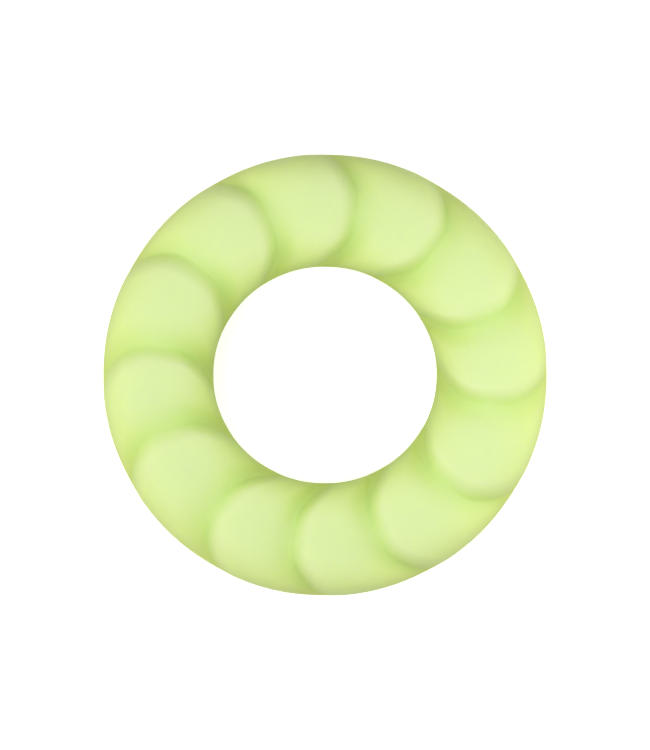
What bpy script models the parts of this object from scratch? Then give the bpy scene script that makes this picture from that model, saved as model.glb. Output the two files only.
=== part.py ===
"""Teething ring: one solid ring of soft silicone, moulded in one piece.

The ring lies flat, with its axis along Z and the surface that it lies on at z = 0. It is very slightly
oval, and its tube is a little taller than it is wide. Twelve lobes lean round it like coins pushed
over. On the upper face a lobe starts with a steep front, runs level, and falls away into the valley in
front of the next lobe. The fronts are foremost near the crown of the tube and curve back towards its
inner and outer walls. The lower face is like the upper one turned over. The walls have no relief at
all, so the ring's outlines are smooth. The lobes' crowns on the lower face end in small flat lands,
which the ring rests on.
"""

import math

import bpy
import numpy as np

# Driving dimensions, in metres and radians. Widths are along X and lengths along Y.
OUTER_WIDTH = 0.0700
OUTER_LENGTH = 0.0696
HOLE_WIDTH = 0.0353
HOLE_LENGTH = 0.0342
TUBE_HEIGHT = 0.0190
# Where the lobes' fronts cross the crown of the upper face, as angles from +X. The master of the mould
# was shaped by hand, so they are not quite 30 degrees apart.
FRONT_DEGREES = (19, 49.5, 79.5, 110, 140, 171, 199, 231, 259.5, 288.5, 318.5, 350.5)
# How far round the ring a front has curved back where it meets a wall, and how far towards the hole
# its foremost point lies, in half widths of the tube.
FRONT_LAG = math.radians(13)
FRONT_SHIFT = 0.1
# The share of that lag that the far end of a lobe does not follow, and how much further round the far
# end is at the outer wall than on the crown.
FADE_LEAD = 0.4
FADE_SLANT = math.radians(2.2)
# The depth of a valley on the crown of the tube.
VALLEY_DEPTH = 0.0018
# How the tube's section is rounded on a lobe and in a valley: 2 is an ellipse, and more is squarer.
LOBE_SQUARENESS = 3.2
VALLEY_SQUARENESS = 1.8
# The shares of a lobe's length that its front and the valley after it take, the power of the curve
# along which the lobe falls away, and the share of its height that the rounding of a valley blends.
FRONT_SHARE = 0.2
VALLEY_SHARE = 0.06
FALL_POWER = 3.5
VALLEY_FILLET = 0.45
# How much the lower crowns are cut back to make the flat lands.
LAND_CUT = 0.00015

# The mesh: where its columns stand along a lobe, closer together at the front, and its points round
# the tube.
COLUMN_SHARES = (0, 0.03, 0.07, 0.12, 0.20, 0.32, 0.46, 0.60, 0.72, 0.82, 0.90, 0.96)
POINTS_ROUND_TUBE = 36

SILICONE_COLOUR = (0.69, 0.85, 0.32, 1.0)
SILICONE_ROUGHNESS = 0.55


def clear_scene():
    for obj in list(bpy.data.objects):
        bpy.data.objects.remove(obj, do_unlink=True)


def silicone():
    material = bpy.data.materials.new("silicone")
    material.use_nodes = True
    shader = material.node_tree.nodes["Principled BSDF"]
    shader.inputs["Base Color"].default_value = SILICONE_COLOUR
    shader.inputs["Roughness"].default_value = SILICONE_ROUGHNESS
    shader.inputs["Metallic"].default_value = 0.0
    return material


def larger_rounded(first, second, width):
    """The larger of two heights, with a parabolic fillet where they differ by less than the width."""
    near = np.maximum(width - np.abs(first - second), 0)
    return np.maximum(first, second) + near**2 / (4 * width)


def lobe_height(share, lead):
    """Height of the face above its valleys, from 0 to 1, at a share of a lobe's length.

    A lobe is a parabola up over its front, then one minus a power curve of the share along it plus the
    lead. The face is the largest of the lobe, its neighbours and the valley floor, blended by fillets.
    """
    height = 0
    for start in (1, 0, -1):
        along = share + start
        front = 1 - np.maximum(1 - along / FRONT_SHARE, 0) ** 2
        behind = np.maximum(along + lead - FRONT_SHARE, 0)
        fall = behind / (1 - FRONT_SHARE - VALLEY_SHARE)
        height = larger_rounded(front - fall**FALL_POWER, height, VALLEY_FILLET)
    return height


def moulded(points):
    """Places of the ring's surface points, from the points of a plain torus with the same columns.

    A section is a superellipse, |out / half width|^n + |up / crown|^n = 1, whose n and crown go from
    those of a valley to those of a lobe with the height. Seen from above, a front lags with the cube of
    the distance from its foremost point.
    """
    middle = (OUTER_WIDTH + HOLE_WIDTH) / 4
    torus_radius = np.hypot(points[:, 0], points[:, 1])
    turn = np.arctan2(points[:, 2], torus_radius - middle)
    across = np.cos(turn)
    below = turn < 0

    columns = len(FRONT_DEGREES) * len(COLUMN_SHARES)
    column = np.round(np.arctan2(points[:, 1], points[:, 0]) / (2 * math.pi) * columns)
    lobe, place = np.divmod(column.astype(int) % columns, len(COLUMN_SHARES))
    share = np.array(COLUMN_SHARES)[place]
    fronts = np.radians(FRONT_DEGREES)
    length = np.append(fronts[1:], fronts[0] + 2 * math.pi) - fronts

    tightening = np.sqrt(middle / (middle + (OUTER_WIDTH - HOLE_WIDTH) / 4 * across))
    lag = FRONT_LAG * np.abs(across + FRONT_SHIFT * (1 - across**2)) ** 3
    around = fronts[lobe] + share * length[lobe]
    around = around + np.where(below, 2 * FRONT_LAG - lag, lag) * tightening
    lead = (FADE_LEAD * lag * tightening - FADE_SLANT * across) * len(fronts) / (2 * math.pi)

    height = lobe_height(np.where(below, 1 - share, share), lead)
    squareness = VALLEY_SQUARENESS + (LOBE_SQUARENESS - VALLEY_SQUARENESS) * height
    crown = TUBE_HEIGHT / 2 + np.where(below, LAND_CUT, 0) - VALLEY_DEPTH * (1 - height)
    up = crown * np.maximum(1 - np.abs(across) ** squareness, 0) ** (1 / squareness)
    up = np.maximum(np.where(below, -up, up), -TUBE_HEIGHT / 2)

    oval = np.cos(2 * around)
    outer_radius = (OUTER_WIDTH + OUTER_LENGTH + (OUTER_WIDTH - OUTER_LENGTH) * oval) / 4
    hole_radius = (HOLE_WIDTH + HOLE_LENGTH + (HOLE_WIDTH - HOLE_LENGTH) * oval) / 4
    radius = (outer_radius + hole_radius) / 2 + (outer_radius - hole_radius) / 2 * across
    return np.stack(
        [radius * np.cos(around), radius * np.sin(around), up + TUBE_HEIGHT / 2], axis=1
    )


def ring_body(collection):
    bpy.ops.mesh.primitive_torus_add(
        major_segments=len(FRONT_DEGREES) * len(COLUMN_SHARES),
        minor_segments=POINTS_ROUND_TUBE,
        major_radius=(OUTER_WIDTH + HOLE_WIDTH) / 4,
        minor_radius=(OUTER_WIDTH - HOLE_WIDTH) / 4,
        generate_uvs=False,
    )
    ring = bpy.context.object
    ring.name = "ring_body"
    for holder in list(ring.users_collection):
        holder.objects.unlink(ring)
    collection.objects.link(ring)

    points = np.empty(len(ring.data.vertices) * 3, np.float32)
    ring.data.vertices.foreach_get("co", points)
    placed = moulded(points.reshape(-1, 3).astype(float))
    ring.data.vertices.foreach_set("co", placed.astype(np.float32).ravel())
    ring.data.update()
    ring.data.shade_smooth()
    ring.data.materials.append(silicone())


def main():
    clear_scene()
    collection = bpy.data.collections.new("teething_ring")
    bpy.context.scene.collection.children.link(collection)
    ring_body(collection)


main()
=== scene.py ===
"""Teething ring: the finished look of a one-piece ring of soft, frosted silicone.

The file is laid out as a Blender add-on and is run as a script. It makes the ring as one fine surface
in the space of the plain CAD ring, gives it its silicone, and sets up a white table, soft light and a
camera that looks down on the ring.
"""

import math

import bpy
import numpy as np
from bpy.props import FloatProperty, FloatVectorProperty, PointerProperty
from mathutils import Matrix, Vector


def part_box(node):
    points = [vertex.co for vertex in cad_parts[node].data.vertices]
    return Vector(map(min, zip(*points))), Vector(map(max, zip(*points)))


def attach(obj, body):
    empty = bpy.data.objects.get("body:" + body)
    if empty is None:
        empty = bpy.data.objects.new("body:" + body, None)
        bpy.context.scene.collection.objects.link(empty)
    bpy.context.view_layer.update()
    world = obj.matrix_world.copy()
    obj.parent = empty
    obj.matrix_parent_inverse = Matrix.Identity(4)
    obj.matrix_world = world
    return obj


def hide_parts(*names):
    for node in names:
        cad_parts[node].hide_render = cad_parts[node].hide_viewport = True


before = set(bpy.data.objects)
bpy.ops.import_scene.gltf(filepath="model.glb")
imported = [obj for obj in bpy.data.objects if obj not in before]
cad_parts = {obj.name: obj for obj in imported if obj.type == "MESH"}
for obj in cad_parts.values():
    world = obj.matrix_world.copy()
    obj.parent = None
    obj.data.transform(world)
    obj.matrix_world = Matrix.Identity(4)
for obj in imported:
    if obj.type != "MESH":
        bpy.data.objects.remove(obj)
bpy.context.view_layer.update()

bl_info = {
    "name": "Teething Ring",
    "version": (1, 0, 0),
    "blender": (4, 5, 0),
    "location": "3D View > Sidebar > Teether",
    "description": "Makes a soft silicone teething ring with leaning lobes, and a white table to show it on",
    "category": "Add Mesh",
}

RING_LOW, RING_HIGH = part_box("ring_body")

# Where the lobes' fronts cross the crown of the upper face, as angles from +X. They are not quite 30
# degrees apart.
FRONT_DEGREES = (19, 49.5, 79.5, 110, 140, 171, 199, 231, 259.5, 288.5, 318.5, 350.5)

# The mesh: columns along each lobe, closer together at its front, and points round the tube, closer
# together at its walls.
COLUMNS_PER_LOBE = 42
POINTS_ROUND_TUBE = 156
COLUMN_CROWDING = 0.6
POINT_CROWDING = 0.6

# How far down from a crown the shoulder of a lobe gets its own colour of painted shade, as a share of the way
# to the middle of the wall.
SHOULDER_SHADE_PLACE = 0.2

# The silicone: its refractive index, how far red, green and blue light travel in it as shares of the
# light path, how much its roughness varies, and the scales of its rough patches and of its grain.
SILICONE_IOR = 1.41
COLOUR_REACH = (1.0, 1.0, 0.45)
ROUGHNESS_SPREAD = 0.08
PATCH_SCALE = 420.0
GRAIN_SCALE = 5200.0
GRAIN_STRENGTH = 0.25
GRAIN_HEIGHT = 0.00003

# The table's colour and roughness, how much it glows to the camera alone, and how bright the room is to
# the camera and as a light.
TABLE_COLOUR = (0.92, 0.92, 0.92, 1.0)
TABLE_ROUGHNESS = 0.9
TABLE_GLOW = 0.6
ROOM_SEEN = 0.9
ROOM_LIGHT = 0.247
WHITE = (1.0, 1.0, 1.0, 1.0)

# The nearest and farthest things that the camera shows, in metres.
CAMERA_NEAR = 0.01
CAMERA_FAR = 20


class RingShape(bpy.types.PropertyGroup):
    """Sizes and shape of the ring. Lengths are in metres."""

    outer_width: FloatProperty(
        name="Outer width",
        description="Width of the ring across its outer walls, along X",
        default=RING_HIGH.x - RING_LOW.x,
        unit="LENGTH",
    )
    outer_length: FloatProperty(
        name="Outer length",
        description="Length of the ring across its outer walls, along Y",
        default=RING_HIGH.y - RING_LOW.y,
        unit="LENGTH",
    )
    hole_width: FloatProperty(
        name="Hole width",
        description="Width of the hole along X",
        default=0.0353,
        unit="LENGTH",
    )
    hole_length: FloatProperty(
        name="Hole length",
        description="Length of the hole along Y",
        default=0.0342,
        unit="LENGTH",
    )
    tube_height: FloatProperty(
        name="Tube height",
        description="Height of the tube from the table to its crown",
        default=RING_HIGH.z - RING_LOW.z,
        unit="LENGTH",
    )
    valley_depth: FloatProperty(
        name="Valley depth",
        description="Depth of the valleys between the lobes on the crown of the tube",
        default=0.0018,
        unit="LENGTH",
    )
    front_lag: FloatProperty(
        name="Front lag",
        description="How far round the ring a lobe's steep front has curved back where it meets a wall",
        default=math.radians(13),
        subtype="ANGLE",
    )
    front_shift: FloatProperty(
        name="Front shift",
        description="How far towards the hole the foremost point of a front lies, in half widths of the tube",
        default=0.1,
    )
    fade_lead: FloatProperty(
        name="Fade lead",
        description="Share of the front's lag that the far end of a lobe does not follow",
        default=0.4,
        subtype="FACTOR",
    )
    fade_slant: FloatProperty(
        name="Fade slant",
        description="How much further round the far end of a lobe is at the outer wall than on the crown",
        default=math.radians(2.2),
        subtype="ANGLE",
    )
    lobe_squareness: FloatProperty(
        name="Lobe squareness",
        description="Power of the section's superellipse on a lobe, 2 being an ellipse",
        default=3.2,
    )
    valley_squareness: FloatProperty(
        name="Valley squareness",
        description="Power of the section's superellipse in a valley, 2 being an ellipse",
        default=1.8,
    )
    front_share: FloatProperty(
        name="Front",
        description="Share of a lobe's length that its steep front takes",
        default=0.2,
        subtype="FACTOR",
    )
    valley_share: FloatProperty(
        name="Valley",
        description="Share of a lobe's length that the valley floor after it takes on the crown",
        default=0.06,
        subtype="FACTOR",
    )
    fall_power: FloatProperty(
        name="Fall",
        description="Power of the curve along which a lobe falls away into the next valley",
        default=3.5,
    )
    valley_fillet: FloatProperty(
        name="Valley fillet",
        description="Share of the lobes' height that the rounding of a valley blends",
        default=0.45,
        subtype="FACTOR",
    )
    land_cut: FloatProperty(
        name="Land cut",
        description="How much the lower crowns are cut back to make the flat lands that the ring rests on",
        default=0.00015,
        unit="LENGTH",
    )


class SiliconeFinish(bpy.types.PropertyGroup):
    """Colours of the silicone, with painted shade down its walls, and its grain."""

    colour: FloatVectorProperty(
        name="Colour",
        description="Colour of the silicone on the crowns of the lobes",
        subtype="COLOR",
        size=4,
        min=0,
        max=1,
        default=(0.733, 0.88, 0.425, 1.0),
    )
    # Painted shade: a darker, more saturated colour on the lobes' shoulders, standing in for light lost on
    # its way through the silicone.
    shoulder_painted_shade: FloatVectorProperty(
        name="Shoulder colour",
        description="Colour on the shoulders of the lobes, where light has come further through the silicone",
        subtype="COLOR",
        size=4,
        min=0,
        max=1,
        default=(0.715, 0.87, 0.325, 1.0),
    )
    # Painted shade: the darkest, most saturated colour, half way down the walls, standing in for the shade
    # that falls there.
    painted_wall_shade: FloatVectorProperty(
        name="Deep colour",
        description="Colour half way down the walls, where light has come furthest",
        subtype="COLOR",
        size=4,
        min=0,
        max=1,
        default=(0.585, 0.72, 0.13, 1.0),
    )
    translucency: FloatProperty(
        name="Translucency",
        description="Share of the light that goes into the silicone and comes out elsewhere",
        default=0.8,
        subtype="FACTOR",
    )
    light_path: FloatProperty(
        name="Light path",
        description="How far light travels inside the silicone",
        default=0.007,
        unit="LENGTH",
    )
    roughness: FloatProperty(
        name="Roughness",
        description="Mean roughness of the surface left by the sandblasted mould",
        default=0.55,
        subtype="FACTOR",
    )


class Studio(bpy.types.PropertyGroup):
    """The table, the lights and the camera."""

    camera_distance: FloatProperty(
        name="Camera distance",
        description="Distance from the camera to the middle of the ring",
        default=0.616,
        unit="LENGTH",
    )
    camera_elevation: FloatProperty(
        name="Camera elevation",
        description="Angle of the camera above the table",
        default=math.radians(90),
        subtype="ANGLE",
    )
    picture_share: FloatProperty(
        name="Share of the picture",
        description="Share of the picture's longer side that the ring's diameter takes",
        default=0.591,
        subtype="FACTOR",
    )
    table_size: FloatProperty(
        name="Table size",
        description="Length of the table's sides",
        default=6.0,
        unit="LENGTH",
    )


def crowded(count, crowding):
    """Shares from 0 to 1 in even steps, pulled towards 0 and 1 by a sine wave."""
    even = np.arange(count) / count
    return even - crowding * np.sin(2 * math.pi * even) / (2 * math.pi)


def larger_rounded(first, second, width):
    """The larger of two heights, with a parabolic fillet where they differ by less than the width."""
    near = np.maximum(width - np.abs(first - second), 0)
    return np.maximum(first, second) + near**2 / (4 * width)


def lobe_height(share, lead, shape):
    """Height of the face above its valleys, from 0 to 1.

    A lobe is a parabola up over its front, then one minus a power curve of the share along it plus the
    lead. The face is the largest of the lobe, its neighbours and the valley floor, blended by fillets.
    """
    height = 0
    for start in (1, 0, -1):
        along = share + start
        front = 1 - np.maximum(1 - along / shape.front_share, 0) ** 2
        behind = np.maximum(along + lead - shape.front_share, 0)
        fall = behind / (1 - shape.front_share - shape.valley_share)
        height = larger_rounded(front - fall**shape.fall_power, height, shape.valley_fillet)
    return height


def ring_surface(shape):
    """Points of the ring on a grid of columns round it and points round its tube.

    A section is a superellipse, |out / half width|^n + |up / crown|^n = 1, whose n and crown go from
    those of a valley to those of a lobe with the height. Seen from above, a front lags with the cube of
    the distance from its foremost point.
    Returns the points, and how far down from the tube's crowns each one lies, 1 being half way down.
    """
    front = np.radians(FRONT_DEGREES)
    length = np.append(front[1:], front[0] + 2 * math.pi) - front
    share = np.tile(crowded(COLUMNS_PER_LOBE, COLUMN_CROWDING), len(front))[:, None]
    on_crown = np.repeat(front, COLUMNS_PER_LOBE)[:, None]
    on_crown = on_crown + share * np.repeat(length, COLUMNS_PER_LOBE)[:, None]
    even = 2 * math.pi * np.arange(POINTS_ROUND_TUBE) / POINTS_ROUND_TUBE
    turn = (even - POINT_CROWDING * np.sin(2 * even) / 2)[None, :]
    below = turn > math.pi

    middle = (shape.outer_width + shape.hole_width) / 4
    across = np.cos(turn)
    tightening = np.sqrt(middle / (middle + (shape.outer_width - shape.hole_width) / 4 * across))
    lag = shape.front_lag * np.abs(across + shape.front_shift * (1 - across**2)) ** 3
    around = on_crown + np.where(below, 2 * shape.front_lag - lag, lag) * tightening
    lead = shape.fade_lead * lag * tightening - shape.fade_slant * across
    lead = lead * len(front) / (2 * math.pi)

    height = lobe_height(np.where(below, 1 - share, share), lead, shape)
    squareness = shape.valley_squareness + (shape.lobe_squareness - shape.valley_squareness) * height
    crown = shape.tube_height / 2 + np.where(below, shape.land_cut, 0) - shape.valley_depth * (1 - height)
    up = crown * np.maximum(1 - np.abs(across) ** squareness, 0) ** (1 / squareness)
    up = np.maximum(np.where(below, -up, up), -shape.tube_height / 2)

    oval = np.cos(2 * around)
    outer = (shape.outer_width + shape.outer_length + (shape.outer_width - shape.outer_length) * oval) / 4
    hole = (shape.hole_width + shape.hole_length + (shape.hole_width - shape.hole_length) * oval) / 4
    radius = (outer + hole) / 2 + (outer - hole) / 2 * across
    points = np.stack(
        [radius * np.cos(around), radius * np.sin(around), up + shape.tube_height / 2], axis=-1
    )
    wall = 1 - np.abs(up) / (shape.tube_height / 2)
    return points, wall


def grid_mesh(name, points):
    """A closed mesh from a grid of points that joins up with itself both ways, faces outwards."""
    columns, rows = points.shape[:2]
    corner = np.arange(columns * rows).reshape(columns, rows)
    beside = np.roll(corner, -1, axis=0)
    above = np.roll(corner, -1, axis=1)
    across = np.roll(beside, -1, axis=1)
    faces = np.stack([corner, beside, across, above], axis=-1).reshape(-1, 4)
    mesh = bpy.data.meshes.new(name)
    mesh.vertices.add(columns * rows)
    mesh.vertices.foreach_set("co", points.astype(np.float32).ravel())
    mesh.loops.add(faces.size)
    mesh.loops.foreach_set("vertex_index", faces.astype(np.int32).ravel())
    mesh.polygons.add(len(faces))
    mesh.polygons.foreach_set("loop_start", np.arange(0, faces.size, 4, dtype=np.int32))
    mesh.update(calc_edges=True)
    mesh.shade_smooth()
    return mesh


def vertex_values(mesh, name, values):
    """Stores one number a vertex, for the material to read."""
    layer = mesh.attributes.new(name, "FLOAT", "POINT")
    layer.data.foreach_set("value", values.astype(np.float32).ravel())


def node(tree, kind, **settings):
    """Adds a node, with its settings and the values of its unlinked sockets."""
    made = tree.nodes.new(kind)
    for name, value in settings.items():
        if name in made.inputs:
            made.inputs[name].default_value = value
        else:
            setattr(made, name, value)
    return made


def silicone(finish):
    """Frosted silicone: it scatters light inside, has painted shade that makes its colour darker and more
    saturated down its walls, and has a grain.
    """
    material = bpy.data.materials.new("frosted_silicone")
    material.use_nodes = True
    tree = material.node_tree
    shader = tree.nodes["Principled BSDF"]
    shader.inputs["Subsurface Weight"].default_value = finish.translucency
    shader.inputs["Subsurface Radius"].default_value = COLOUR_REACH
    shader.inputs["Subsurface Scale"].default_value = finish.light_path
    shader.inputs["IOR"].default_value = SILICONE_IOR
    place = node(tree, "ShaderNodeTexCoord")

    # Painted shade: the base colour goes darker and more saturated from the crowns down to the middle of the
    # walls, by how far down each point lies.
    wall = node(tree, "ShaderNodeAttribute", attribute_name="wall")
    painted_shade_ramp = node(tree, "ShaderNodeValToRGB")
    colours = painted_shade_ramp.color_ramp.elements
    colours[0].color = finish.colour
    colours[1].color = finish.painted_wall_shade
    colours.new(SHOULDER_SHADE_PLACE).color = finish.shoulder_painted_shade
    tree.links.new(wall.outputs["Fac"], painted_shade_ramp.inputs["Fac"])
    tree.links.new(painted_shade_ramp.outputs["Color"], shader.inputs["Base Color"])

    patches = node(tree, "ShaderNodeTexNoise", Scale=PATCH_SCALE, Detail=4.0)
    tree.links.new(place.outputs["Object"], patches.inputs["Vector"])
    rough = node(tree, "ShaderNodeMapRange")
    rough.inputs["To Min"].default_value = finish.roughness - ROUGHNESS_SPREAD
    rough.inputs["To Max"].default_value = finish.roughness + ROUGHNESS_SPREAD
    tree.links.new(patches.outputs["Fac"], rough.inputs["Value"])
    tree.links.new(rough.outputs["Result"], shader.inputs["Roughness"])

    grain = node(tree, "ShaderNodeTexNoise", Scale=GRAIN_SCALE, Detail=3.0)
    tree.links.new(place.outputs["Object"], grain.inputs["Vector"])
    bump = node(tree, "ShaderNodeBump", Strength=GRAIN_STRENGTH, Distance=GRAIN_HEIGHT)
    tree.links.new(grain.outputs["Fac"], bump.inputs["Height"])
    tree.links.new(bump.outputs["Normal"], shader.inputs["Normal"])
    return material


class TEETHER_OT_ring_body(bpy.types.Operator):
    """Make the silicone ring in the space of the CAD ring"""

    bl_idname = "teether.ring_body"
    bl_label = "Ring Body"

    def execute(self, context):
        points, wall = ring_surface(context.scene.ring_shape)
        mesh = grid_mesh("silicone_ring", points)
        vertex_values(mesh, "wall", wall)
        mesh.materials.append(silicone(context.scene.silicone_finish))
        ring = bpy.data.objects.new("silicone_ring", mesh)
        context.scene.collection.objects.link(ring)
        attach(ring, "root")
        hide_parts("ring_body")
        return {"FINISHED"}


# Each soft light: its angle round the ring from the camera's side, its height as an angle, its width
# and its distance in metres, and its power in watts.
SOFT_LIGHTS = (
    ("window_left_front", 315, 65, 0.3, 0.5, 0.81),
    ("window_left_back", 225, 65, 0.3, 0.5, 0.18),
    ("window_back", 180, 65, 0.3, 0.5, 0.41),
    ("low_left", 270, 10, 0.3, 0.5, 0.30),
    ("low_front", 0, 10, 0.3, 0.5, 0.16),
    ("near_right_high", 90, 60, 0.08, 0.13, 0.033),
    ("near_right_low", 90, 5, 0.08, 0.13, 0.041),
    ("near_left", 270, 30, 0.08, 0.13, 0.015),
)


def seen_from(azimuth, elevation, distance, centre):
    """The place at an angle round and above a centre. Azimuth 0 is towards -Y, and 90 towards +X."""
    around, above = math.radians(azimuth), math.radians(elevation)
    flat = distance * math.cos(above)
    offset = (flat * math.sin(around), -flat * math.cos(around), distance * math.sin(above))
    return centre + Vector(offset)


def aim(obj, place, target):
    """Puts an object at a place, with its -Z axis towards the target."""
    obj.location = place
    obj.rotation_euler = (target - place).to_track_quat("-Z", "Y").to_euler()


def soft_light(scene, name, azimuth, elevation, width, distance, power):
    """A round area light that shines on the middle of the ring and that the camera doesn't see."""
    light = bpy.data.lights.new(name, "AREA")
    light.shape = "DISK"
    light.size = width
    light.energy = power
    lamp = bpy.data.objects.new(name, light)
    lamp.visible_camera = False
    scene.collection.objects.link(lamp)
    centre = (RING_LOW + RING_HIGH) / 2
    aim(lamp, seen_from(azimuth, elevation, distance, centre), centre)


def strength_by_ray(tree, socket, seen, lit):
    """Gives a strength one value as the camera sees it and another as it lights the ring."""
    ray = node(tree, "ShaderNodeLightPath")
    strength = node(tree, "ShaderNodeMath", operation="MULTIPLY_ADD")
    strength.inputs[1].default_value = seen - lit
    strength.inputs[2].default_value = lit
    tree.links.new(ray.outputs["Is Camera Ray"], strength.inputs[0])
    tree.links.new(strength.outputs[0], socket)


def table_top(scene, studio):
    """A flat white square at z = 0, for the ring to lie on."""
    side = studio.table_size / 2
    mesh = bpy.data.meshes.new("table_top")
    corners = [(-side, -side, 0), (side, -side, 0), (side, side, 0), (-side, side, 0)]
    mesh.from_pydata(corners, [], [(0, 1, 2, 3)])
    material = bpy.data.materials.new("white_table")
    material.use_nodes = True
    shader = material.node_tree.nodes["Principled BSDF"]
    shader.inputs["Base Color"].default_value = TABLE_COLOUR
    shader.inputs["Roughness"].default_value = TABLE_ROUGHNESS
    shader.inputs["Emission Color"].default_value = WHITE
    strength_by_ray(material.node_tree, shader.inputs["Emission Strength"], seen=TABLE_GLOW, lit=0)
    mesh.materials.append(material)
    table = bpy.data.objects.new("table_top", mesh)
    scene.collection.objects.link(table)


def white_world(scene):
    """An even white room round the table."""
    world = bpy.data.worlds.new("white_room")
    world.use_nodes = True
    background = world.node_tree.nodes["Background"]
    background.inputs["Color"].default_value = WHITE
    strength_by_ray(world.node_tree, background.inputs["Strength"], seen=ROOM_SEEN, lit=ROOM_LIGHT)
    scene.world = world


def camera(scene, studio, shape):
    """A camera that looks at the middle of the ring and shows it at its share of the picture."""
    lens = bpy.data.cameras.new("camera")
    lens.lens = lens.sensor_width * studio.picture_share * studio.camera_distance / shape.outer_width
    lens.clip_start = CAMERA_NEAR
    lens.clip_end = CAMERA_FAR
    view = bpy.data.objects.new("camera", lens)
    scene.collection.objects.link(view)
    centre = (RING_LOW + RING_HIGH) / 2
    elevation = math.degrees(studio.camera_elevation)
    aim(view, seen_from(0, elevation, studio.camera_distance, centre), centre)
    scene.camera = view


class TEETHER_OT_studio(bpy.types.Operator):
    """Make the white table, the soft lights and the camera"""

    bl_idname = "teether.studio"
    bl_label = "Studio"

    def execute(self, context):
        scene = context.scene
        scene.view_settings.view_transform = "Standard"
        table_top(scene, scene.studio)
        white_world(scene)
        for settings in SOFT_LIGHTS:
            soft_light(scene, *settings)
        camera(scene, scene.studio, scene.ring_shape)
        return {"FINISHED"}


class TEETHER_PT_panel(bpy.types.Panel):
    """Shows the ring's shape, its silicone and the studio, with buttons to make them"""

    bl_idname = "TEETHER_PT_panel"
    bl_label = "Teething Ring"
    bl_space_type = "VIEW_3D"
    bl_region_type = "UI"
    bl_category = "Teether"

    def draw(self, context):
        layout = self.layout
        for group in (context.scene.ring_shape, context.scene.silicone_finish, context.scene.studio):
            box = layout.box()
            for name in group.bl_rna.properties.keys():
                if name not in ("rna_type", "name"):
                    box.prop(group, name)
        layout.operator(TEETHER_OT_ring_body.bl_idname)
        layout.operator(TEETHER_OT_studio.bl_idname)


CLASSES = (
    RingShape,
    SiliconeFinish,
    Studio,
    TEETHER_OT_ring_body,
    TEETHER_OT_studio,
    TEETHER_PT_panel,
)


def register():
    for each in CLASSES:
        bpy.utils.register_class(each)
    bpy.types.Scene.ring_shape = PointerProperty(type=RingShape)
    bpy.types.Scene.silicone_finish = PointerProperty(type=SiliconeFinish)
    bpy.types.Scene.studio = PointerProperty(type=Studio)


def unregister():
    del bpy.types.Scene.studio
    del bpy.types.Scene.silicone_finish
    del bpy.types.Scene.ring_shape
    for each in reversed(CLASSES):
        bpy.utils.unregister_class(each)


def main():
    register()
    bpy.ops.teether.ring_body()
    bpy.ops.teether.studio()


if __name__ == "__main__":
    main()
